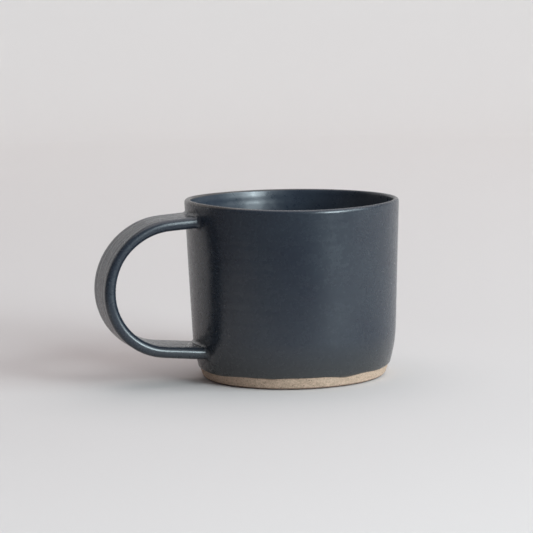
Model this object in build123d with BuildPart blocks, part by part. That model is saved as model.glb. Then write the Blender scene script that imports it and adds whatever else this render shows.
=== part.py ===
from build123d import *
from math import asin, cos, degrees, radians, sin
import os

os.makedirs("parts", exist_ok=True)

# A hand-thrown stoneware mug with a flat strap handle and a satin glaze that stops short of the foot.
# Millimetres and degrees. Origin: on the cup's axis, in the plane of the foot. +Z is up and the handle
# points along -X.

# ---- Driving dimensions -------------------------------------------------------------------------

# Cup. The height and the lip radius are over the glaze, the rest is the bare clay.
height = 74.6               # foot to lip crest
lip_radius = 45.0           # the widest outside radius, just under the lip
wall_taper = 2.15           # how far the outside wall leans in towards the foot
bore_taper = 3.8            # how far the inside wall leans in towards the floor
lip_round = 0.95            # outer edge of the lip
lip_inner_round = 0.6       # inner edge of the lip
belly_height = 19.5         # below this the wall curves in towards the foot
belly_round = 56.0          # radius of that curve
floor_height = 6.0          # clay under the cup's inside floor
floor_round = 14.0          # inside corner between the floor and the wall
foot_round = 0.8            # edge of the foot

# Glaze coat
glaze = 0.4                 # thickness of every coat
glaze_line = 4.8            # the outside coat stops this far above the foot

# Handle: a centreline of two straight roots and two bends, in the plane of the cup's axis
handle_reach = 81.7         # the cup's axis to the outermost point of the centreline
handle_middle = 39.6        # height of that point
upper_bend = 27.2
lower_bend = 25.0
upper_slope = 2.8           # the upper root falls away from the wall
lower_slope = 6.2           # the lower root rises away from the wall
root_start = 38.0           # both roots are drawn from here, inside the wall, and then trimmed
strap_width = 20.4          # bare clay
strap_thickness = 3.9
strap_round = 0.9

# Slip joints
slip = 0.8                  # thickness of slip between the wall and the end of the strap
slip_bead = 1.0             # how far the pad of slip stands out round the strap
collar_length = 12.0        # stretch of a root that its pad is cut from

# ---- Values that follow from them ---------------------------------------------------------------

clay_height = height - glaze
lip_centre = Vector(lip_radius - glaze - lip_round, clay_height - lip_round)
inner_lip_centre = Vector(lip_centre.X, clay_height - lip_inner_round)

# The wall's outside line leaves the lip's shoulder and ends where the belly starts.
wall_normal = Vector(cos(radians(wall_taper)), -sin(radians(wall_taper)))
wall_top = lip_centre + wall_normal * lip_round
wall_length = (wall_top.Y - belly_height) / wall_normal.X
wall_foot = wall_top + Vector(wall_normal.Y, -wall_normal.X) * wall_length
belly_centre = wall_foot - wall_normal * belly_round

# The inside line leaves the inner edge of the lip and ends where the floor's corner starts.
bore_normal = Vector(-cos(radians(bore_taper)), sin(radians(bore_taper)))
bore_top = inner_lip_centre + bore_normal * lip_inner_round
corner_height = floor_height + floor_round
bore_length = (bore_top.Y + bore_normal.Y * floor_round - corner_height) / -bore_normal.X
corner_centre = bore_top + Vector(-bore_normal.Y, bore_normal.X) * bore_length + bore_normal * floor_round


# ---- Outlines, drawn in the plane of the axis ---------------------------------------------------

def outside_line(coat, low):
    """The cup's outside from the lip's crest down to the height low, lying coat outside the clay."""
    round_off = belly_round + coat
    end_angle = degrees(asin((belly_centre.Y - low) / round_off))
    lip = CenterArc(lip_centre, lip_round + coat, 90, -90 - wall_taper)
    belly = CenterArc(belly_centre, round_off, -wall_taper, wall_taper - end_angle)
    Line(lip @ 1, belly @ 0)
    return lip @ 0, belly @ 1


def inside_line(coat):
    """The cup's inside from the lip's crest to the middle of the floor, lying coat off the clay."""
    lip = CenterArc(inner_lip_centre, lip_inner_round + coat, 90, 90 - bore_taper)
    corner = CenterArc(corner_centre, floor_round - coat, -bore_taper, bore_taper - 90)
    middle = (0, floor_height + coat)
    Line(lip @ 1, corner @ 0)
    Line(corner @ 1, middle)
    return lip @ 0, middle


def envelope(coat, mode):
    """Everything inside the cup's outside surface, grown by coat, as one solid turned about the axis."""
    with BuildSketch(Plane.XZ) as section:
        with BuildLine():
            crest, foot = outside_line(coat, glaze_line)
            Polyline(foot, (0, foot.Y), (0, crest.Y), crest)
        make_face()
    revolve(section.sketch, axis=Axis.Z, mode=mode)


# ---- Handle line and sections -------------------------------------------------------------------

with BuildLine(Plane.XZ) as handle_line:
    bend_above = CenterArc(
        (upper_bend - handle_reach, handle_middle), upper_bend, 90 + upper_slope, 90 - upper_slope)
    bend_below = CenterArc(
        (lower_bend - handle_reach, handle_middle), lower_bend, 180, 90 - lower_slope)
    upper_run = (-root_start - (bend_above @ 0).X) / cos(radians(upper_slope))
    lower_run = (-root_start - (bend_below @ 1).X) / cos(radians(lower_slope))
    upper_root = Line(bend_above @ 0 - (bend_above % 0) * upper_run, bend_above @ 0)
    lower_root = Line(bend_below @ 1, bend_below @ 1 + (bend_below % 1) * lower_run)

upper_end = (upper_root @ 0, upper_root % 0)
lower_end = (lower_root @ 1, -(lower_root % 1))


def strap_sweep(coat):
    """The whole strap, grown by coat on every side."""
    path = handle_line.wires()[0]
    with BuildSketch(Plane(upper_root @ 0, x_dir=(0, 1, 0), z_dir=upper_root % 0)) as section:
        RectangleRounded(strap_width + 2 * coat, strap_thickness + 2 * coat, strap_round + coat)
    sweep(section.sketch, path=path)


def collar(end, coat, mode=Mode.ADD):
    """A straight block along one root, as wide as its pad of slip and grown by coat."""
    start, direction = end
    bead = slip_bead + coat
    with BuildSketch(Plane(start, x_dir=(0, 1, 0), z_dir=direction)) as section:
        RectangleRounded(strap_width + 2 * bead, strap_thickness + 2 * bead, strap_round + bead)
    extrude(section.sketch, amount=collar_length, mode=mode)


# ---- Clay ---------------------------------------------------------------------------------------

with BuildPart() as cup_body:
    with BuildSketch(Plane.XZ) as clay_section:
        with BuildLine():
            outer_crest, foot_edge = outside_line(0, 0)
            inner_crest, floor_middle = inside_line(0)
            Polyline(foot_edge, (0, 0), floor_middle)
        make_face()
    revolve(axis=Axis.Z)
    fillet(cup_body.edges().group_by(Axis.Z)[0], foot_round)
cup_body.part.label = "cup_body"

with BuildPart() as handle_strap:
    strap_sweep(0)
    envelope(slip, Mode.SUBTRACT)
handle_strap.part.label = "handle_strap"

with BuildPart() as upper_slip_joint:
    collar(upper_end, 0)
    envelope(slip, Mode.INTERSECT)
    envelope(0, Mode.SUBTRACT)
upper_slip_joint.part.label = "upper_slip_joint"

with BuildPart() as lower_slip_joint:
    collar(lower_end, 0)
    envelope(slip, Mode.INTERSECT)
    envelope(0, Mode.SUBTRACT)
lower_slip_joint.part.label = "lower_slip_joint"

# ---- Glaze --------------------------------------------------------------------------------------

with BuildPart() as outer_glaze:
    with BuildSketch(Plane.XZ) as coat_section:
        with BuildLine():
            coat_crest, coat_foot = outside_line(glaze, glaze_line)
            clay_crest, clay_foot = outside_line(0, glaze_line)
            Line(coat_crest, clay_crest)
            Line(coat_foot, clay_foot)
        make_face()
    revolve(axis=Axis.Z)
    collar(upper_end, glaze, Mode.SUBTRACT)
    collar(lower_end, glaze, Mode.SUBTRACT)
outer_glaze.part.label = "outer_glaze"

with BuildPart() as liner_glaze:
    with BuildSketch(Plane.XZ) as liner_section:
        with BuildLine():
            liner_crest, liner_middle = inside_line(glaze)
            bore_crest, bore_middle = inside_line(0)
            Line(liner_crest, bore_crest)
            Line(liner_middle, bore_middle)
        make_face()
    revolve(axis=Axis.Z)
liner_glaze.part.label = "liner_glaze"

with BuildPart() as handle_glaze:
    collar(upper_end, glaze)
    collar(lower_end, glaze)
    envelope(slip + glaze, Mode.INTERSECT)
    strap_sweep(glaze)
    envelope(0, Mode.SUBTRACT)
    add(handle_strap.part, mode=Mode.SUBTRACT)
    add(upper_slip_joint.part, mode=Mode.SUBTRACT)
    add(lower_slip_joint.part, mode=Mode.SUBTRACT)
handle_glaze.part.label = "handle_glaze"

# ---- One file per piece -------------------------------------------------------------------------

pieces = (
    cup_body,
    handle_strap,
    upper_slip_joint,
    lower_slip_joint,
    outer_glaze,
    liner_glaze,
    handle_glaze,
)
for piece in pieces:
    export_step(piece.part, f"parts/{piece.part.label}.step")
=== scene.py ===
import math

import bmesh
import bpy
import numpy as np
from mathutils import Euler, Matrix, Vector


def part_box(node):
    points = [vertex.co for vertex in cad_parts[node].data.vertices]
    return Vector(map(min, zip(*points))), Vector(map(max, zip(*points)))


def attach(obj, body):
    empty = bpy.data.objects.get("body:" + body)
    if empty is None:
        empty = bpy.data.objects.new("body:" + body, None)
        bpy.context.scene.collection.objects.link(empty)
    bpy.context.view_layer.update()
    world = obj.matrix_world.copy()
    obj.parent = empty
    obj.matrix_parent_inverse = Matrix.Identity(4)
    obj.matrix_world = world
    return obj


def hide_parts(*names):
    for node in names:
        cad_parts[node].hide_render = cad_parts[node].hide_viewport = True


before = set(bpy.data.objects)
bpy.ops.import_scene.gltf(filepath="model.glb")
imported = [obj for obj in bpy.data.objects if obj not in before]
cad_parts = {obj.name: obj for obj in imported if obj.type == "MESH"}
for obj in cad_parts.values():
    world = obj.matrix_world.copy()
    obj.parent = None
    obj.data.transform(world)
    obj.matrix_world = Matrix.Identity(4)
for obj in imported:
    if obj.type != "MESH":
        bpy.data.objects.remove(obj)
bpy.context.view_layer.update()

# A hand-thrown stoneware mug: a glazed cup on a bare foot, with a flat strap handle along -X.
# Every length is in metres. MM turns a millimetre into metres.
MM = 0.001

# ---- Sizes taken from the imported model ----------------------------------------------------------

coat_low, coat_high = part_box("outer_glaze")
clay_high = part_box("cup_body")[1]
strap_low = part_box("handle_glaze")[0]
LIP_RADIUS = coat_high[0]
HEIGHT = coat_high[2]
GLAZE_LINE = coat_low[2]
GLAZE = coat_high[2] - clay_high[2]
STRAP_REACH = -strap_low[0]

# ---- Sizes repeated from the part's source ------------------------------------------------------

WALL_TAPER = math.radians(2.15)
BORE_TAPER = math.radians(3.8)
LIP_ROUND = 0.95 * MM
LIP_INNER_ROUND = 0.6 * MM
BELLY_HEIGHT = 19.5 * MM
BELLY_ROUND = 56.0 * MM
FLOOR_HEIGHT = 6.0 * MM
FLOOR_ROUND = 14.0 * MM
FOOT_ROUND = 2.0 * MM           # rounder than the part's 0.8 mm, as a wiped foot looks

STRAP_WIDTH = 21.2 * MM         # the width and the thickness are over the glaze
STRAP_THICKNESS = 4.7 * MM
BEND_MIDDLE = 39.6 * MM
UPPER_BEND = 27.2 * MM
LOWER_BEND = 24.85 * MM         # 0.15 mm tighter than the part's
UPPER_SLOPE = math.radians(2.8)
LOWER_SLOPE = math.radians(6.2)
SLIP = 0.8 * MM

# ---- Fineness of the meshes: the distance from one row or point to the next ---------------------

AROUND = 336                    # faces round the cup
MEASURED = 0.1 * MM             # outlines that are measured and don't become rows themselves
OUTSIDE_ROWS = 0.38 * MM
INSIDE_ROWS = 0.55 * MM
BARE_ROWS = 0.22 * MM           # bare clay above the foot's edge
EDGE_ROWS = 0.14 * MM           # the foot's edge
UNDERSIDE_ROWS = 0.7 * MM
HIDDEN_ROWS = 2.5 * MM          # faces that lie hidden between two layers
OUTER_LIP_ROWS = 0.3 * MM       # at most
INNER_LIP_ROWS = 0.15 * MM
LINE_STEP = 0.35 * MM           # the strap's centreline
STRAP_ROWS = 0.75 * MM
STRAP_FLAT = 0.55 * MM          # round the strap's section: its flat faces
STRAP_CURVE = 0.2 * MM          # and its corners and sides

SHARP = math.radians(50)        # faces that meet at a greater angle show an edge


# ---- Small tools for outlines -------------------------------------------------------------------

def arc(centre, radius, start, end, step):
    """Points on an arc in a plane, angles in radians."""
    count = max(3, math.ceil(abs(radius * (end - start)) / step) + 1)
    angles = np.linspace(start, end, count)
    return np.column_stack((centre[0] + radius * np.cos(angles), centre[1] + radius * np.sin(angles)))


def straight(start, end, step):
    """Points on a straight line in a plane."""
    start, end = np.array(start, float), np.array(end, float)
    count = max(2, math.ceil(np.linalg.norm(end - start) / step) + 1)
    return start + np.linspace(0, 1, count)[:, None] * (end - start)


def chain(*runs):
    """Runs of points joined end to end, each shared point once."""
    joined = [runs[0]] + [run[1:] for run in runs[1:]]
    return np.concatenate(joined)


def lengths_along(points):
    """Distance from the first point to each point, along the line."""
    return np.concatenate(([0.0], np.cumsum(np.linalg.norm(np.diff(points, axis=0), axis=1))))


def left_normals(points, closed=False):
    """Unit normals of a line or a closed loop in a plane, on the left of its direction."""
    if closed:
        tangents = np.roll(points, -1, axis=0) - np.roll(points, 1, axis=0)
    else:
        tangents = np.gradient(points, axis=0)
    tangents /= np.linalg.norm(tangents, axis=1)[:, None]
    return np.column_stack((-tangents[:, 1], tangents[:, 0]))


def fade_in(distance, full):
    """A share that rises from 0 at no distance to 1 at the full one, and stays there."""
    return np.clip(distance / full, 0, 1)


# ---- The cup's outlines, as radius and height ---------------------------------------------------

lip_centre = np.array((LIP_RADIUS - GLAZE - LIP_ROUND, HEIGHT - GLAZE - LIP_ROUND))
inner_lip_centre = np.array((lip_centre[0], HEIGHT - GLAZE - LIP_INNER_ROUND))
wall_normal = np.array((math.cos(WALL_TAPER), -math.sin(WALL_TAPER)))
wall_top = lip_centre + wall_normal * LIP_ROUND
wall_down = np.array((wall_normal[1], -wall_normal[0]))
wall_foot = wall_top + wall_down * (wall_top[1] - BELLY_HEIGHT) / -wall_down[1]
belly_centre = wall_foot - wall_normal * BELLY_ROUND

bore_normal = np.array((-math.cos(BORE_TAPER), math.sin(BORE_TAPER)))
bore_down = np.array((-bore_normal[1], bore_normal[0]))
bore_top = inner_lip_centre + bore_normal * LIP_INNER_ROUND
bore_length = (bore_top[1] + bore_normal[1] * FLOOR_ROUND - FLOOR_HEIGHT - FLOOR_ROUND) / -bore_down[1]
corner_centre = bore_top + bore_down * bore_length + bore_normal * FLOOR_ROUND


def belly_angle(coat, height):
    """Where the belly's arc passes a height, as an angle about its centre."""
    return -math.asin((belly_centre[1] - height) / (BELLY_ROUND + coat))


def outside(coat, step, low=0.0):
    """The cup's outside from the lip's crest down to the height low, lying coat outside the clay."""
    lip = arc(lip_centre, LIP_ROUND + coat, math.pi / 2, -WALL_TAPER, min(step, OUTER_LIP_ROWS))
    belly = arc(belly_centre, BELLY_ROUND + coat, -WALL_TAPER, belly_angle(coat, low), step)
    return chain(lip, straight(lip[-1], belly[0], step), belly)


def inside(coat, step):
    """The cup's inside from the lip's crest to the middle of the floor, lying coat off the clay."""
    lip = arc(inner_lip_centre, LIP_INNER_ROUND + coat, math.pi / 2, math.pi - BORE_TAPER, INNER_LIP_ROWS)
    corner = arc(corner_centre, FLOOR_ROUND - coat, -BORE_TAPER, -math.pi / 2, step)
    middle = (0.0, FLOOR_HEIGHT + coat)
    return chain(lip, straight(lip[-1], corner[0], step), corner, straight(corner[-1], middle, step))


wall_profile = outside(0.0, MEASURED)
wall_normals = left_normals(wall_profile)


def wall_radius(height, coat):
    """Radius of the cup's outside at a height, lying coat outside the clay."""
    grown = wall_profile + wall_normals * coat
    return np.interp(height, grown[::-1, 1], grown[::-1, 0])


# ---- Unevenness of a thing made by hand ---------------------------------------------------------

LIP_FROM = 60 * MM              # above this the wall follows the lip's rise and fall
LIP_TURN = math.radians(19.1)   # the lip's waves start this far clockwise of +X, seen from above
# Waves of the lip: how many to a turn, and their cosine's and sine's heights in millimetres.
LIP_WAVES = ((1, -0.58, 0.18), (2, 0.29, 0.12), (3, 0.0, -0.14))
FOOT_SHIFT = np.array((-0.28, 0.10)) * MM       # the foot is this far off the cup's axis


def mottle(turn, height, size, seed, waves=26):
    """Smooth random relief of about -1 to 1 that repeats round the cup, with bumps of one size."""
    rng = np.random.default_rng(seed)
    total = 0.0
    for _ in range(waves):
        way = rng.uniform(0, 2 * math.pi)
        pull = rng.uniform(0.6, 1.5) * math.pi / size
        laps = round(pull * math.cos(way) * LIP_RADIUS)
        total = total + np.cos(laps * turn + pull * math.sin(way) * height + rng.uniform(0, 2 * math.pi))
    return total / math.sqrt(waves)


def throwing_lines(turn, height, seed, waves=14):
    """Low level ridges that a potter's fingers leave, each drifting a little up or down round the cup."""
    rng = np.random.default_rng(seed)
    total, weight = 0.0, 0.0
    for _ in range(waves):
        pitch = rng.uniform(1.4, 5.5) * MM
        laps = int(rng.integers(-2, 3))
        phase = 2 * math.pi * height / pitch + rng.uniform(0, 2 * math.pi)
        total = total + pitch * np.cos(laps * turn + phase)
        weight += pitch ** 2
    return total / math.sqrt(weight)


def bumps(turn, height, layers):
    """Layers of mottle laid over one another, each given as depth, size and seed."""
    return sum(depth * mottle(turn, height, size, seed) for depth, size, seed in layers)


def settled(points):
    """Puts the lip and the foot out of true by a hair, the same for every layer of the mug."""
    turn = np.arctan2(points[..., 1], points[..., 0]) + LIP_TURN
    near_lip = fade_in(points[..., 2] - LIP_FROM, HEIGHT - LIP_FROM)
    near_lip = (near_lip * near_lip * (3 - 2 * near_lip)) ** 2      # starts slowly and ends level
    near_foot = 1 - fade_in(points[..., 2], BELLY_HEIGHT)
    rise = sum(cosine * np.cos(laps * turn) + sine * np.sin(laps * turn) for laps, cosine, sine in LIP_WAVES)
    out = points.copy()
    out[..., 2] += near_lip * rise * MM
    out[..., :2] += near_foot[..., None] * FOOT_SHIFT
    return out


# ---- Mesh tools ---------------------------------------------------------------------------------

def piece_from(name, rings, closed=False, first_cap=None, last_cap=None):
    """A mesh from rings of points, each ring joined round on itself and to the next ring.

    closed joins the last ring to the first; a cap is the point that closes an end."""
    count, around = len(rings), len(rings[0])
    points = [tuple(point) for ring in rings for point in ring]
    faces = []
    for row in range(count if closed else count - 1):
        here, there = row * around, (row + 1) % count * around
        for k in range(around):
            after = (k + 1) % around
            faces.append((here + k, here + after, there + after, there + k))
    for cap, start in ((first_cap, 0), (last_cap, (count - 1) * around)):
        if cap is not None:
            points.append(tuple(cap))
            faces += [(start + k, start + (k + 1) % around, len(points) - 1) for k in range(around)]
    mesh = bpy.data.meshes.new(name)
    mesh.from_pydata(points, [], faces)
    work = bmesh.new()
    work.from_mesh(mesh)
    bmesh.ops.recalc_face_normals(work, faces=work.faces)
    for face in work.faces:
        face.smooth = True
    for edge in work.edges:
        edge.smooth = len(edge.link_faces) == 2 and edge.calc_face_angle(0.0) < SHARP
    work.to_mesh(mesh)
    work.free()
    thing = bpy.data.objects.new(name, mesh)
    bpy.context.scene.collection.objects.link(thing)
    return thing


turns = np.arange(AROUND) * 2 * math.pi / AROUND


def spun(radius, height):
    """Rings of points round the cup, from a radius and a height for every row, or row and turn."""
    radius, height, turn = np.broadcast_arrays(radius, height, turns)
    return settled(np.stack((radius * np.cos(turn), radius * np.sin(turn), height), axis=-1))


# ---- Outside glaze ------------------------------------------------------------------------------

# Where the glaze runs lower: direction and width in degrees, depth in millimetres.
GLAZE_DIPS = (
    (-163, 17, 0.9), (-121, 4, 0.25), (-78, 9, 0.85), (-50, 14, 0.4),
    (12, 20, 0.6), (75, 15, 0.5), (140, 24, 0.7))
# Ripples of its edge between them: how many to a turn, height in millimetres and phase in radians.
GLAZE_RIPPLES = ((4, 0.06, 1.1), (13, 0.05, 2.4))
EDGE_LIFT = 0.30 * MM           # between the dips the edge runs this far above the part's glaze line
EDGE_ROLL = 0.5 * MM            # radius of the bead that the edge ends in
EDGE_BAND = 3 * MM              # rows start to follow the edge this far above its highest point
LIP_COUNT, BAND_COUNT, ROLL_COUNT, BACK_COUNT = 7, 12, 6, 23    # rows of each stretch
CREST_FADE = 2 * MM             # the glaze's relief fades in over this, from the lip's crest
OUTSIDE_LINES = 0.009 * MM      # depth of the throwing lines that show through it
OUTSIDE_BUMPS = ((0.04 * MM, 17 * MM, 4), (0.008 * MM, 3.5 * MM, 5))


def glaze_edge(turn):
    """Height of the wavy line where the outside glaze stops, round the cup."""
    level = GLAZE_LINE + EDGE_LIFT
    for laps, ripple, phase in GLAZE_RIPPLES:
        level = level + ripple * MM * np.sin(laps * turn + phase)
    for place, width, depth in GLAZE_DIPS:
        apart = (turn - math.radians(place) + math.pi) % (2 * math.pi) - math.pi
        level = level - depth * MM * np.exp(-(apart / math.radians(width)) ** 2)
    return level


def make_outer_glaze():
    """The coat from the lip's crest to its rolled lower edge, and back up against the clay."""
    along = lengths_along(wall_profile)
    ends = np.interp(-glaze_edge(turns), -wall_profile[:, 1], along)
    lip_length = LIP_ROUND * (math.pi / 2 + WALL_TAPER)
    down = np.concatenate((
        np.linspace(0, lip_length, LIP_COUNT, endpoint=False),
        np.arange(lip_length, ends.min() - EDGE_BAND, OUTSIDE_ROWS)))
    bead = ends - EDGE_ROLL
    rows, coats = [], []

    def add_row(distance, coat):
        rows.append(distance + np.zeros(AROUND))
        coats.append(coat + np.zeros(AROUND))

    for distance in down:
        add_row(distance, GLAZE)
    for share in np.linspace(0, 1, BAND_COUNT + 1)[1:]:
        add_row(down[-1] + (bead - down[-1]) * share, GLAZE + (EDGE_ROLL - GLAZE) * share ** 2)
    for lean in np.linspace(0, math.pi / 2, ROLL_COUNT + 1)[1:]:
        add_row(bead + EDGE_ROLL * math.sin(lean), EDGE_ROLL * math.cos(lean))
    for share in np.linspace(1, 0, BACK_COUNT + 1)[1:]:
        add_row(ends * share, 0.0)
    rows, coats = np.array(rows), np.array(coats)

    # The glaze's own relief fades out at the lip's crest, at the rolled edge and on the hidden side.
    height = np.interp(rows, along, wall_profile[:, 1])
    relief = OUTSIDE_LINES * throwing_lines(turns, height, seed=3) + bumps(turns, height, OUTSIDE_BUMPS)
    coats = coats + relief * fade_in(coats, GLAZE) * fade_in(rows, CREST_FADE)
    radius = np.interp(rows, along, wall_profile[:, 0]) + np.interp(rows, along, wall_normals[:, 0]) * coats
    height = height + np.interp(rows, along, wall_normals[:, 1]) * coats
    return piece_from("outer_glaze_coat", spun(radius, height), closed=True)


# ---- Inside glaze -------------------------------------------------------------------------------

LINER_CREST_FADE = 3 * MM       # its relief fades in over this, from the lip's crest
INSIDE_LINES = 0.025 * MM       # depth of the throwing lines that show through it
INSIDE_BUMPS = ((0.06 * MM, 14 * MM, 14), (0.025 * MM, 5 * MM, 15))
# On the floor the lines and the bumps fade in outwards: from this far off the axis, over this distance.
LINES_FROM, LINES_OVER = 2.4 * MM, 12 * MM
BUMPS_FROM, BUMPS_OVER = 20 * MM, 16 * MM
FLOOR_ZONE = FLOOR_HEIGHT + 3 * MM      # all below this counts as floor


def make_liner_glaze():
    """The coat from the lip's crest down over the floor, and back up against the clay."""
    shown = inside(GLAZE, INSIDE_ROWS)[:-1]
    hidden = inside(0.0, HIDDEN_ROWS)[:-1]
    normals = left_normals(shown)
    away, level = shown[:, 0:1], shown[:, 1:2]
    # Down the wall the height sets the row of relief, and on the floor the distance from the axis does.
    height = level - away * (level < FLOOR_ZONE)
    relief = INSIDE_LINES * throwing_lines(turns, height, seed=13) * fade_in(away - LINES_FROM, LINES_OVER)
    relief += bumps(turns, height, INSIDE_BUMPS) * fade_in(away - BUMPS_FROM, BUMPS_OVER)
    relief *= fade_in(lengths_along(shown), LINER_CREST_FADE)[:, None]
    coat = spun(away - normals[:, 0:1] * relief, level - normals[:, 1:2] * relief)
    against_clay = spun(hidden[:, 0:1], hidden[:, 1:2])
    return piece_from(
        "liner_glaze_coat", np.concatenate((coat[::-1], against_clay)),
        first_cap=(0, 0, FLOOR_HEIGHT + GLAZE), last_cap=(0, 0, FLOOR_HEIGHT))


# ---- Clay of the cup ----------------------------------------------------------------------------

BARE_BELOW = 8 * MM             # the clay is fine and grainy below this; the glaze ends lower still
GRIT_DEPTH = 0.03 * MM
GRIT_FLATNESS = 3               # the grains on the foot's side are this much wider than high
CLAY_LINES = 0.02 * MM          # depth of the clay's throwing lines
FLAT_BELOW = 0.02 * MM          # only the flat underside lies this low
SPIRAL_DEPTH = 0.07 * MM        # the shallow spiral that the wheel leaves on the underside
SPIRAL_PITCH = 2.3 * MM
RELIEF_FADE = 1.5 * MM          # the bare clay's relief fades in over this
MIDDLE_FADE = 2 * MM            # and the underside's over this, from its middle


def make_cup_clay():
    """The thrown cup: hidden under glaze except for the bare foot and the underside."""
    wall = outside(0.0, HIDDEN_ROWS, low=BARE_BELOW)
    # The foot's edge is a round between the belly and the flat underside.
    reach = BELLY_ROUND - FOOT_ROUND
    tangent = math.asin((FOOT_ROUND - belly_centre[1]) / reach)
    edge_centre = (belly_centre[0] + reach * math.cos(tangent), FOOT_ROUND)
    belly = arc(belly_centre, BELLY_ROUND, belly_angle(0.0, BARE_BELOW), tangent, BARE_ROWS)
    edge = arc(edge_centre, FOOT_ROUND, tangent, -math.pi / 2, EDGE_ROWS)
    under = straight(edge[-1], (0.0, 0.0), UNDERSIDE_ROWS)[:-1]
    outer = chain(wall, belly, edge, under)
    normals = left_normals(outer)
    radius, height = outer[:, 0:1], outer[:, 1:2]

    grain = GRIT_DEPTH * mottle(turns, height * GRIT_FLATNESS, size=1.3 * MM, seed=21, waves=60)
    grain += CLAY_LINES * throwing_lines(turns, height, seed=22)
    grain *= fade_in(BARE_BELOW - height, RELIEF_FADE)
    spiral = SPIRAL_DEPTH * (np.sin(turns + radius * 2 * math.pi / SPIRAL_PITCH) + 1)
    spiral += GRIT_DEPTH * (mottle(turns, radius, size=2.2 * MM, seed=23, waves=50) + 1.6)
    spiral *= fade_in(edge[-1][0] - radius, RELIEF_FADE) * fade_in(radius, MIDDLE_FADE)
    # Low down the relief is only cut into the clay, so that nothing stands proud of the foot.
    relief = np.where(height < FLAT_BELOW, -spiral, grain)
    relief = np.where(height < FOOT_ROUND, np.minimum(relief, 0.0), relief)

    shown = spun(radius + normals[:, 0:1] * relief, height + normals[:, 1:2] * relief)
    inner = inside(0.0, HIDDEN_ROWS)[1:-1]
    under_liner = spun(inner[:, 0:1], inner[:, 1:2])
    return piece_from(
        "cup_clay", np.concatenate((shown[::-1], under_liner)),
        first_cap=(0, 0, 0), last_cap=(0, 0, FLOOR_HEIGHT))


# ---- Handle: centreline and section -------------------------------------------------------------

BEND_REACH = STRAP_REACH - STRAP_THICKNESS / 2
ROOT_START = 40 * MM            # the centreline is drawn from here, inside the wall
BEND_EASE = 3 * MM              # half the length over which a straight run turns into a bend
STRAP_SWELL = 0.5 * MM          # how far the strap's sides bulge
OUTER_ROUND = 1.5 * MM          # corners of its outer face
INNER_ROUND = 1.9 * MM          # corners of its inner face


def handle_line(step):
    """The strap's centreline as (reach, height), its turns eased where a straight run meets a bend."""
    upper_centre = (BEND_REACH - UPPER_BEND, BEND_MIDDLE)
    lower_centre = (BEND_REACH - LOWER_BEND, BEND_MIDDLE)
    above = arc(upper_centre, UPPER_BEND, math.pi / 2 - UPPER_SLOPE, 0, step)
    below = arc(lower_centre, LOWER_BEND, 0, LOWER_SLOPE - math.pi / 2, step)
    upper_run = (above[0][0] - ROOT_START) / math.cos(UPPER_SLOPE)
    lower_run = (below[-1][0] - ROOT_START) / math.cos(LOWER_SLOPE)
    upper_start = above[0] + upper_run * np.array((-math.cos(UPPER_SLOPE), math.sin(UPPER_SLOPE)))
    lower_end = below[-1] + lower_run * np.array((-math.cos(LOWER_SLOPE), -math.sin(LOWER_SLOPE)))
    sharp = chain(straight(upper_start, above[0], step), above, below, straight(below[-1], lower_end, step))
    along = lengths_along(sharp)
    even = np.linspace(0, along[-1], round(along[-1] / step) + 1)
    sharp = np.column_stack([np.interp(even, along, sharp[:, k]) for k in (0, 1)])
    # Each step takes the weighted mean direction of the steps around it.
    ease = round(BEND_EASE / step)
    weights = np.hanning(2 * ease + 3)
    weights /= weights.sum()
    steps = np.diff(sharp, axis=0)
    padded = np.concatenate((np.repeat(steps[:1], ease + 1, 0), steps, np.repeat(steps[-1:], ease + 1, 0)))
    eased = np.column_stack([np.convolve(padded[:, k], weights, "valid") for k in (0, 1)])
    smooth = sharp[0] + np.concatenate(([[0, 0]], np.cumsum(eased, axis=0)))
    return smooth + np.linspace(0, 1, len(smooth))[:, None] * (sharp[-1] - smooth[-1])


def strap_section(inset, thin=1.0):
    """One turn round the strap's section as (across, outwards), flat faces with soft, swelling sides.

    thin is the thickness as a share of the full one; the outer face stays where it is."""
    half_thick = STRAP_THICKNESS / 2
    flat_side = STRAP_WIDTH / 2 - STRAP_SWELL
    corners = (
        (flat_side - OUTER_ROUND, half_thick - OUTER_ROUND, OUTER_ROUND, 90),
        (flat_side - INNER_ROUND, INNER_ROUND - half_thick, INNER_ROUND, 0),
        (INNER_ROUND - flat_side, INNER_ROUND - half_thick, INNER_ROUND, -90),
        (OUTER_ROUND - flat_side, half_thick - OUTER_ROUND, OUTER_ROUND, 180),
    )
    runs = []
    for across, outwards, radius, start in corners:
        start_angle, end_angle = math.radians(start), math.radians(start - 90)
        runs.append(arc((across, outwards), radius, start_angle, end_angle, STRAP_CURVE))
    loop = []
    for here, there in zip(runs, runs[1:] + runs[:1]):
        loop.append(here[:-1])
        on_face = np.linalg.norm(there[0] - here[-1]) > STRAP_THICKNESS
        loop.append(straight(here[-1], there[0], STRAP_FLAT if on_face else STRAP_CURVE)[:-1])
    loop = np.concatenate(loop)
    side = np.sign(loop[:, 0]) * np.clip(np.abs(loop[:, 0]) / flat_side * 2 - 1, 0, 1)
    loop[:, 0] += side * STRAP_SWELL * (1 - (loop[:, 1] / half_thick) ** 2)
    loop[:, 1] = half_thick - (half_thick - loop[:, 1]) * thin
    normals = left_normals(loop, closed=True)
    return loop - normals * inset, normals


def pull_lines(across, travel, seed):
    """Shallow grooves along the strap from pulling it, drifting slowly as they go."""
    rng = np.random.default_rng(seed)
    grooves, widest = 9, 5.0
    total = 0.0
    for _ in range(grooves):
        pitch = rng.uniform(1.6, widest) * MM
        drift = 0.5 * np.sin(travel * rng.uniform(30, 70) + rng.uniform(0, 6))
        phase = drift + rng.uniform(0, 6)
        total = total + pitch / (widest * MM) * np.cos(2 * math.pi * across / pitch + phase)
    return total / math.sqrt(grooves)


# ---- Handle: rings of points --------------------------------------------------------------------

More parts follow.
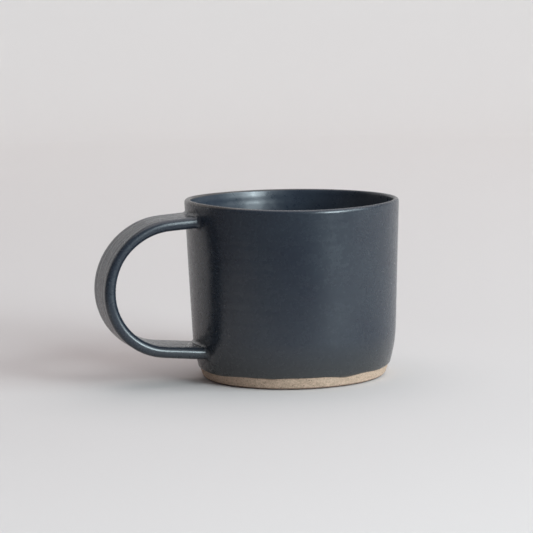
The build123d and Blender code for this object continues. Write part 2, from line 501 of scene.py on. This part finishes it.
FILLET = 1.2 * MM               # hollow round where the strap's glaze runs onto the wall
FILLET_COUNT = 11               # rows across it
FILLET_TUCK = (0.25 * MM, 0.3 * MM)     # its edge goes on this far along the wall and into it
HANDLE_LEAN = math.radians(0.8)
# Where the straight roots end and the eased bends start, from the cup's axis.
UPPER_ROOT_END = 54.5 * MM
LOWER_ROOT_END = 56.5 * MM
# The strap grows thicker downwards: distance from the upper root's end in millimetres, and thickness
# as a share of the full one.
THINNING = ((0, 0.94), (14, 0.94), (26, 0.93), (40, 1.0), (54, 1.06), (82, 1.02), (100, 1.06))
WALL_SEARCH = 22 * MM                   # a root meets the wall within this distance of its bend
WALL_HALVINGS = 40                      # how often that distance is halved to find the place
JOINT_CLEAR = FILLET + 0.9 * MM         # the strap's own rings stop this far short of the wall
JOINT_FADE = 4 * MM                     # and their relief fades in over this
GROOVE_DEPTH = 0.07 * MM
INNER_FACE_SHIFT = 40 * MM              # moves the grooves along, so that the two faces differ
RIPPLE_DEPTH = 0.02 * MM                # slight ripples that run slantwise round the strap
RIPPLE_ACROSS, RIPPLE_ALONG = 700, 260  # their radians per metre


def leaned(points):
    """The strap was stuck on leaning a little to one side."""
    points[:, 2] += HANDLE_LEAN * points[:, 1]
    return points


def placed(loop, centre, outwards):
    """3-D points of a section loop about a point of the centreline."""
    reach_height = centre + loop[:, 1:2] * outwards
    return leaned(np.column_stack((-reach_height[:, 0], loop[:, 0], reach_height[:, 1])))


class Root:
    """One end of the strap, where it runs straight into the wall."""

    def __init__(self, start, direction, outwards, thin):
        self.start, self.outwards, self.thin = start, outwards, thin
        self.direction = direction / np.linalg.norm(direction)

    def place(self, loop, forward):
        """3-D points of a section loop, moved forward towards the wall."""
        return placed(loop, self.start + np.asarray(forward)[..., None] * self.direction, self.outwards)

    def distance(self, loop, coat):
        """How far forward each point of the loop meets the wall's surface, coat outside the clay."""
        near, far = np.zeros(len(loop)), np.full(len(loop), WALL_SEARCH)
        for _ in range(WALL_HALVINGS):
            middle = (near + far) / 2
            points = self.place(loop, middle)
            outside_wall = np.hypot(points[:, 0], points[:, 1]) > wall_radius(points[:, 2], coat)
            near, far = np.where(outside_wall, middle, near), np.where(outside_wall, far, middle)
        return (near + far) / 2


strap_line = handle_line(LINE_STEP)
strap_along = lengths_along(strap_line)
strap_outwards = left_normals(strap_line)
# The first point of the upper bend and the last one of the lower bend.
first_bend = np.argmax(strap_line[:, 0] > UPPER_ROOT_END)
last_bend = len(strap_line) - 1 - np.argmax(strap_line[::-1, 0] > LOWER_ROOT_END)
upper_root = Root(
    strap_line[first_bend], strap_line[0] - strap_line[1], strap_outwards[0], thin=THINNING[0][1])
lower_root = Root(
    strap_line[last_bend], strap_line[-1] - strap_line[-2], strap_outwards[-1], thin=THINNING[-1][1])


def thinning(travel):
    """The strap's thickness at a distance along its line, as a share of the full one."""
    from_root = (travel - strap_along[first_bend]) / MM
    return float(np.interp(from_root, *zip(*THINNING)))


def fillet_size(loop, seed):
    """Radius of the hollow round along the joint, slightly uneven as a finger leaves it."""
    spot = np.arctan2(loop[:, 1] * 3, loop[:, 0])
    return FILLET * (1 + 0.12 * np.sin(2 * spot + seed) + 0.1 * np.sin(5 * spot + 2 * seed))


def root_rings(root, inset, seed, tuck):
    """Rings from the wall's surface out along the hollow round to the strap, for one layer of the joint."""
    loop, normals = strap_section(inset, root.thin)
    coat = GLAZE - inset
    hollow = fillet_size(loop, seed) + inset
    rings = []
    if tuck:
        spread = loop + normals * (hollow + FILLET_TUCK[0])[:, None]
        rings.append(root.place(spread, root.distance(spread, coat) + FILLET_TUCK[1]))
    for lean in np.linspace(math.pi / 2, 0, FILLET_COUNT):
        spread = loop + normals * (hollow * (1 - math.cos(lean)))[:, None]
        rings.append(root.place(spread, root.distance(spread, coat) - hollow * (1 - math.sin(lean))))
    return rings


def strap_rings(inset, relief):
    """Rings along the free strap from the upper joint to the lower one."""
    loop, _ = strap_section(inset)
    begin = strap_along[first_bend] - (upper_root.distance(loop, GLAZE).min() - JOINT_CLEAR)
    end = strap_along[last_bend] + (lower_root.distance(loop, GLAZE).min() - JOINT_CLEAR)
    rings = []
    for travel in np.linspace(begin, end, round((end - begin) / STRAP_ROWS)):
        centre = np.array([np.interp(travel, strap_along, strap_line[:, k]) for k in (0, 1)])
        outwards = np.array([np.interp(travel, strap_along, strap_outwards[:, k]) for k in (0, 1)])
        loop, normals = strap_section(inset, thinning(travel))
        if relief:
            on_face = normals[:, 1] ** 4
            shift = INNER_FACE_SHIFT * (normals[:, 1] < 0)
            depth = GROOVE_DEPTH * pull_lines(loop[:, 0] + shift, travel, seed=31) * on_face
            depth += RIPPLE_DEPTH * np.sin(loop[:, 0] * RIPPLE_ACROSS + travel * RIPPLE_ALONG)
            depth *= fade_in(min(travel - begin, end - travel), JOINT_FADE)
            loop = loop + normals * depth[:, None]
        rings.append(placed(loop, centre, outwards))
    return rings


UPPER_SEED, LOWER_SEED = 1.0, 2.0       # of the joints' uneven hollow rounds


def handle_layer(inset, outermost):
    """Rings of one layer of the handle, from the wall at the upper joint to the wall at the lower one."""
    above = root_rings(upper_root, inset, UPPER_SEED, tuck=outermost)
    below = root_rings(lower_root, inset, LOWER_SEED, tuck=outermost)
    return above + strap_rings(inset, relief=outermost) + below[::-1]


def make_handle_glaze():
    """The coat over the strap and both joints: out along its shown side, back along its hidden side."""
    shown = handle_layer(0.0, outermost=True)
    hidden = handle_layer(GLAZE, outermost=False)
    return piece_from("handle_glaze_coat", settled(np.array(shown + hidden[::-1])), closed=True)


def strap_end(root):
    """The ring where the strap's clay ends, the slip's thickness off the wall."""
    loop, _ = strap_section(GLAZE, root.thin)
    return root.place(loop, root.distance(loop, 0.0) - SLIP)


def make_handle_clay():
    """The strap of clay, from the slip on the wall at one end to the slip at the other."""
    rings = [strap_end(upper_root)] + strap_rings(GLAZE, relief=False) + [strap_end(lower_root)]
    rings = settled(np.array(rings))
    return piece_from("handle_clay", rings, first_cap=rings[0].mean(axis=0), last_cap=rings[-1].mean(axis=0))


def make_slip_joint(name, root, seed):
    """The pad of slip: flat to the wall, hollow at its sides and snug round the strap's end."""
    rings = settled(np.array(root_rings(root, GLAZE, seed, tuck=False) + [strap_end(root)]))
    on_wall = rings[0].mean(axis=0)
    on_wall[:2] *= wall_radius(on_wall[2], 0.0) / np.hypot(on_wall[0], on_wall[1])
    return piece_from(name, rings, first_cap=on_wall, last_cap=rings[-1].mean(axis=0))


# ---- Materials ----------------------------------------------------------------------------------

class Look:
    """A material and short ways to add its nodes."""

    def __init__(self, name):
        self.material = bpy.data.materials.new(name)
        self.material.use_nodes = True
        self.tree = self.material.node_tree
        self.shader = self.tree.nodes["Principled BSDF"]
        self.place = self.add("ShaderNodeTexCoord").outputs["Object"]

    def add(self, kind, **settings):
        node = self.tree.nodes.new(kind)
        for key, value in settings.items():
            setattr(node, key, value)
        return node

    def link(self, source, target):
        self.tree.links.new(source, target)

    def noise(self, scale, detail=2.0, roughness=0.5, stretch=(1, 1, 1)):
        """Noise with about scale bumps per metre."""
        mapping = self.add("ShaderNodeMapping")
        mapping.inputs["Scale"].default_value = stretch
        self.link(self.place, mapping.inputs["Vector"])
        node = self.add("ShaderNodeTexNoise")
        node.inputs["Scale"].default_value = scale
        node.inputs["Detail"].default_value = detail
        node.inputs["Roughness"].default_value = roughness
        self.link(mapping.outputs["Vector"], node.inputs["Vector"])
        return node.outputs["Fac"]

    def specks(self, scale, size, strength):
        """Round specks with soft edges, one somewhere in each cell: strength on a speck and 0 off it.

        scale is in cells per metre and size is a speck's radius as a share of its cell."""
        node = self.add("ShaderNodeTexVoronoi")
        node.inputs["Scale"].default_value = scale
        self.link(self.place, node.inputs["Vector"])
        solid = 0.6 * size
        return self.math("MULTIPLY", self.ramp(node.outputs["Distance"], size, solid), strength)

    def ramp(self, source, low, high, bottom=0.0, top=1.0):
        """A straight ramp from bottom at low to top at high, held flat beyond them."""
        node = self.add("ShaderNodeMapRange")
        for key, value in zip(("From Min", "From Max", "To Min", "To Max"), (low, high, bottom, top)):
            node.inputs[key].default_value = value
        self.link(source, node.inputs["Value"])
        return node.outputs["Result"]

    def mix(self, share, first, second):
        """first where share is 0, second where it is 1; each a colour or another mix."""
        node = self.add("ShaderNodeMix", data_type="RGBA")
        sockets = [s for s in node.inputs if s.type == "RGBA"]
        self.give(share, node.inputs["Factor"])
        self.give(first, sockets[0])
        self.give(second, sockets[1])
        return [s for s in node.outputs if s.type == "RGBA"][0]

    def math(self, how, first, second):
        node = self.add("ShaderNodeMath", operation=how)
        self.give(first, node.inputs[0])
        self.give(second, node.inputs[1])
        return node.outputs["Value"]

    def give(self, value, target):
        """Sets a socket to a number or a colour, or links it to another node."""
        if isinstance(value, bpy.types.NodeSocket):
            self.link(value, target)
        elif isinstance(value, tuple):
            target.default_value = (*value, 1.0)
        else:
            target.default_value = value

    def height_above_table(self):
        split = self.add("ShaderNodeSeparateXYZ")
        self.link(self.place, split.inputs["Vector"])
        return split.outputs["Z"]

    def distance_from_axis(self):
        level = self.add("ShaderNodeVectorMath", operation="MULTIPLY")
        level.inputs[1].default_value = (1, 1, 0)
        self.link(self.place, level.inputs[0])
        return self.length_of(level.outputs["Vector"])

    def length_of(self, vector):
        node = self.add("ShaderNodeVectorMath", operation="LENGTH")
        self.link(vector, node.inputs[0])
        return node.outputs["Value"]

    def bump(self, source, depth, under=None):
        """Relief of the given depth in metres, laid over an earlier bump."""
        node = self.add("ShaderNodeBump")
        node.inputs["Strength"].default_value = 1.0
        node.inputs["Distance"].default_value = depth
        self.link(source, node.inputs["Height"])
        if under is not None:
            self.link(under, node.inputs["Normal"])
        return node.outputs["Normal"]


DEEP_BLUE = (0.0107, 0.0146, 0.0240)
SLATE_BLUE = (0.0190, 0.0262, 0.0352)
BREAK_BROWN = (0.060, 0.048, 0.040)     # the clay showing through where the glaze is thin
TABLE_REFLECTION_GREY = (0.032, 0.032, 0.031)          # painted reflection of the pale table: the glaze greyer low on the wall
PALE_SPECK = (0.085, 0.085, 0.088)
TABLE_REFLECTION_FROM = 20 * MM                     # below this the glaze turns to the painted table reflection
GLAZE_IOR = 1.56

SAND = (0.46, 0.325, 0.24)
PALE_SAND = (0.53, 0.39, 0.295)
DARK_GRAIN = (0.27, 0.20, 0.145)
IRON_SPECK = (0.10, 0.065, 0.045)
PALE_GRIT = (0.72, 0.64, 0.54)
# The foot's outer bottom edge: partly toasted clay, partly painted contact shadow.
TOASTED_AND_SHADED = (0.09, 0.05, 0.04)


def glaze_look(name, roughness, patchy, paler=1.0, bare_foot=True):
    """Satin blue-charcoal glaze: cloudy, finely mottled, with a few specks, browner where it runs thin.

    patchy is how far the roughness strays either way, paler multiplies the blues (a lighter copy of the
    glaze, painted light), and bare_foot adds the painted reflection of the pale table low on the wall and
    the browner thin glaze edge."""
    look = Look(name)
    cloud = look.ramp(look.noise(55, detail=3, roughness=0.55), 0.3, 0.7, top=0.45)
    fine = look.ramp(look.noise(1100, detail=2, roughness=0.7), 0.35, 0.65, top=0.55)
    deep, slate = (tuple(paler * part for part in tone) for tone in (DEEP_BLUE, SLATE_BLUE))
    colour = look.mix(look.math("ADD", cloud, fine), deep, slate)
    level = look.height_above_table()
    if bare_foot:
        # Painted reflection: low on the wall the glaze turns greyer and less blue, as the pale table shows
        # in it.
        colour = look.mix(look.ramp(level, TABLE_REFLECTION_FROM, GLAZE_LINE, top=0.85), colour, TABLE_REFLECTION_GREY)
        thin_edge = look.ramp(level, GLAZE_LINE + 0.8 * MM, GLAZE_LINE - 0.2 * MM, top=0.5)
        colour = look.mix(thin_edge, colour, BREAK_BROWN)
    thin_lip = look.ramp(level, HEIGHT - 0.5 * MM, HEIGHT - 0.1 * MM, top=0.75)
    colour = look.mix(thin_lip, colour, BREAK_BROWN)
    colour = look.mix(look.specks(260, size=0.035, strength=0.3), colour, PALE_SPECK)
    look.link(colour, look.shader.inputs["Base Color"])
    patches = look.noise(240, detail=4, roughness=0.75)
    rough = look.ramp(patches, 0.3, 0.7, bottom=roughness - patchy, top=roughness + patchy)
    look.link(rough, look.shader.inputs["Roughness"])
    look.shader.inputs["IOR"].default_value = GLAZE_IOR
    peel = look.bump(look.noise(420), 0.010 * MM)
    grain = look.bump(look.noise(1600, roughness=0.7), 0.010 * MM, under=peel)
    look.link(grain, look.shader.inputs["Normal"])
    return look.material


def stoneware_look():
    """Bare sandy stoneware: warm tan, grainy, with iron specks and a darker edge at the foot, partly toasted
    clay and partly painted contact shadow.
    """
    look = Look("bare_stoneware")
    cloud = look.noise(120, detail=3, roughness=0.6, stretch=(1, 1, 2.5))
    grit = look.noise(1300, detail=3, roughness=0.8)
    colour = look.mix(look.ramp(cloud, 0.3, 0.7), SAND, PALE_SAND)
    colour = look.mix(look.ramp(grit, 0.4, 0.6, top=0.8), colour, DARK_GRAIN)
    colour = look.mix(look.specks(620, size=0.2, strength=0.75), colour, IRON_SPECK)
    colour = look.mix(look.specks(480, size=0.10, strength=0.5), colour, PALE_GRIT)
    # Partly toasted clay and partly painted contact shadow: the foot's outer edge darker next to the table.
    low_down = look.ramp(look.height_above_table(), 1.1 * MM, 0.5 * MM, top=0.85)
    at_edge = look.ramp(look.distance_from_axis(), 34.5 * MM, 37.0 * MM)
    colour = look.mix(look.math("MULTIPLY", low_down, at_edge), colour, TOASTED_AND_SHADED)
    look.link(colour, look.shader.inputs["Base Color"])
    look.link(look.ramp(grit, 0.3, 0.7, bottom=0.78, top=0.95), look.shader.inputs["Roughness"])
    look.shader.inputs["Specular IOR Level"].default_value = 0.3
    look.link(look.bump(grit, 0.06 * MM), look.shader.inputs["Normal"])
    return look.material


satin = glaze_look("satin_glaze", roughness=0.27, patchy=0.025)
# Painted light: the inside glaze is the outside one made 1.35 times paler, so that the inside shows lighter.
liner = glaze_look("liner_glaze", roughness=0.32, patchy=0.09, paler=1.35, bare_foot=False)
stoneware = stoneware_look()

# ---- The pieces: object, node that it replaces, material slot and material -----------------------

PIECES = (
    (make_cup_clay(), "cup_body", "stoneware", stoneware),
    (make_handle_clay(), "handle_strap", "stoneware", stoneware),
    (make_slip_joint("upper_slip_pad", upper_root, UPPER_SEED), "upper_slip_joint", "stoneware", stoneware),
    (make_slip_joint("lower_slip_pad", lower_root, LOWER_SEED), "lower_slip_joint", "stoneware", stoneware),
    (make_outer_glaze(), "outer_glaze", "satin_glaze", satin),
    (make_liner_glaze(), "liner_glaze", "liner_glaze", liner),
    (make_handle_glaze(), "handle_glaze", "satin_glaze", satin),
)
for piece, node, slot, material in PIECES:
    piece.data.materials.append(material)
    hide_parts(node)
    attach(piece, "root")

# ---- Stage: a pale table and backdrop, a window at the right, a soft room ------------------------

CAMERA_AZIMUTH = math.radians(-19.1)


def around(azimuth, distance, height):
    """A place round the mug. Azimuth is in degrees to the right of the camera, seen from above."""
    turn = CAMERA_AZIMUTH + math.radians(azimuth)
    return Vector((distance * math.sin(turn), -distance * math.cos(turn), height))


# Painted light: the cloth is paler away from the mug, making up for the light that falls off there.
CLOTH_NEAR = (0.62, 0.58, 0.565)
CLOTH_FAR = (0.785, 0.755, 0.735)
CLOTH_SHADE = (0.15, 1.5)       # distances from the mug between which near turns to far


def cloth_look():
    """Pale matt cloth with painted light: a little paler away from the mug, where less light reaches it."""
    look = Look("pale_cloth")
    away = look.ramp(look.length_of(look.place), *CLOTH_SHADE)
    look.link(look.mix(away, CLOTH_NEAR, CLOTH_FAR), look.shader.inputs["Base Color"])
    look.shader.inputs["Roughness"].default_value = 0.9
    look.shader.inputs["Specular IOR Level"].default_value = 0.1
    return look.material


pale_cloth = cloth_look()


def stage_piece(name, points, faces, seen_in_gloss=True, gives_light=True):
    mesh = bpy.data.meshes.new(name)
    mesh.from_pydata([tuple(p) for p in points], [], faces)
    mesh.materials.append(pale_cloth)
    for polygon in mesh.polygons:
        polygon.use_smooth = True
    thing = bpy.data.objects.new(name, mesh)
    bpy.context.scene.collection.objects.link(thing)
    thing.visible_glossy = seen_in_gloss
    thing.visible_diffuse = gives_light


TABLE_FRONT = 0.18              # the glaze sees the table end this far in front of the mug
TABLE_LEFT = 0.22               # and this far to its left, up to TABLE_BACK behind the mug's axis
TABLE_BACK = 0.05
FLOOR_REACH = 3.4
ROOM = 2.4                      # radius of the pale wall
COVE = 0.9                      # radius of its coved foot
COVE_SUNK = 0.5 * MM            # the cove starts this far under the floor
WALL_HEIGHT = 2.4
WALL_SPANS = 48                 # faces across each part of the wall
COVE_STEP, WALL_STEP = 0.06, 0.3        # heights of its rows


def make_floor():
    """The pale floor, in tiles: those beyond the table's edges are left out of the glaze's reflections."""
    far = FLOOR_REACH
    # Each tile's left, right, front and back edge, and whether reflections show it.
    tiles = (
        ("floor_table", -TABLE_LEFT, far, -TABLE_FRONT, far, True),
        ("floor_left_back", -far, -TABLE_LEFT, TABLE_BACK, far, True),
        ("floor_left_front", -far, -TABLE_LEFT, -far, TABLE_BACK, False),
        ("floor_front", -TABLE_LEFT, far, -far, -TABLE_FRONT, False),
    )
    cos, sin = math.cos(CAMERA_AZIMUTH), math.sin(CAMERA_AZIMUTH)
    for name, left, right, front, back, shown in tiles:
        corners = ((left, front), (right, front), (right, back), (left, back))
        points = [(x * cos - y * sin, x * sin + y * cos, 0) for x, y in corners]
        stage_piece(name, points, [(0, 1, 2, 3)], seen_in_gloss=shown)


def make_backdrop(name, start, end, shown):
    """A wall with a coved foot, between two azimuths. Unless shown, it adds no reflection and no light."""
    cove = arc((ROOM - COVE, COVE), COVE, -math.pi / 2, 0, COVE_STEP)
    outline = chain(cove, straight(cove[-1], (ROOM, WALL_HEIGHT), WALL_STEP))
    outline[:, 1] -= COVE_SUNK
    points, faces = [], []
    for k in range(WALL_SPANS + 1):
        azimuth = start + (end - start) * k / WALL_SPANS
        points += [around(azimuth, r, z) for r, z in outline]
    rows = len(outline)
    for k in range(WALL_SPANS):
        here, there = k * rows, (k + 1) * rows
        faces += [(here + j, here + j + 1, there + j + 1, there + j) for j in range(rows - 1)]
    stage_piece(name, points, faces, seen_in_gloss=shown, gives_light=shown)


make_floor()
make_backdrop("backdrop_behind", start=97, end=260, shown=True)
make_backdrop("backdrop_front", start=-100, end=97, shown=False)

# ---- Lights -------------------------------------------------------------------------------------

LIT_POINT = Vector((0, 0, 40 * MM))
WINDOW_DISTANCE = 1.65
PANE_SIZE = (0.72, 0.65)
DAYLIGHT = (0.89, 1.045, 1.10)
# The window's panes: azimuth, height and radiance.
PANES = (
    ("near_pane_low", 46, 0.45, 17.4),
    ("near_pane_high", 46, 1.15, 6.4),
    ("far_pane_low", 74, 0.45, 2.8),
    ("far_pane_high", 74, 1.15, 6.0),
)
CEILING_PLACE = around(azimuth=150, distance=0.6, height=2.2)
CEILING_SIZE = (3.0, 3.0)
CEILING_RADIANCE = 1.2
CEILING_COLOUR = (1.0, 0.96, 0.97)
ROOM_LIGHT = (0.185, 0.18, 0.195)


def area_light(name, place, size, radiance, colour):
    """A rectangle of light of a given radiance, facing the mug and unseen by the camera."""
    light = bpy.data.lights.new(name, "AREA")
    light.shape = "RECTANGLE"
    light.size, light.size_y = size
    light.energy = radiance * math.pi * size[0] * size[1]
    light.color = colour
    lamp = bpy.data.objects.new(name, light)
    lamp.location = place
    lamp.rotation_mode = "QUATERNION"
    lamp.rotation_quaternion = (LIT_POINT - place).to_track_quat("-Z", "Y")
    lamp.visible_camera = False
    bpy.context.scene.collection.objects.link(lamp)


for name, azimuth, height, radiance in PANES:
    area_light(name, around(azimuth, WINDOW_DISTANCE, height), PANE_SIZE, radiance, DAYLIGHT)
area_light("ceiling", CEILING_PLACE, CEILING_SIZE, CEILING_RADIANCE, CEILING_COLOUR)

world = bpy.data.worlds.new("room")
world.use_nodes = True
world.node_tree.nodes["Background"].inputs["Color"].default_value = (*ROOM_LIGHT, 1)
world.node_tree.nodes["Background"].inputs["Strength"].default_value = 1.0
bpy.context.scene.world = world
bpy.context.scene.view_settings.view_transform = "Standard"

# ---- Camera -------------------------------------------------------------------------------------

CAMERA_DISTANCE = 0.888
CAMERA_ELEVATION = math.radians(7.83)
AIM_HEIGHT = 38 * MM
AIM_LEFT = math.radians(0.726)      # the mug stands right of the middle of the frame
AIM_UP = math.radians(0.496)        # and below it
ROLL = math.radians(1.09)
SENSOR_WIDTH, FOCAL_LENGTH = 36.0, 142.04       # in millimetres, as Blender takes them

camera_data = bpy.data.cameras.new("camera")
camera_data.sensor_width = SENSOR_WIDTH
camera_data.lens = FOCAL_LENGTH
camera = bpy.data.objects.new("camera", camera_data)
camera.location = around(
    0, CAMERA_DISTANCE * math.cos(CAMERA_ELEVATION),
    AIM_HEIGHT + CAMERA_DISTANCE * math.sin(CAMERA_ELEVATION))
camera.rotation_mode = "QUATERNION"
towards = Vector((0, 0, AIM_HEIGHT)) - camera.location
camera.rotation_quaternion = (
    towards.to_track_quat("-Z", "Y") @ Euler((AIM_UP, AIM_LEFT, -ROLL)).to_quaternion())
bpy.context.scene.collection.objects.link(camera)
bpy.context.scene.camera = camera
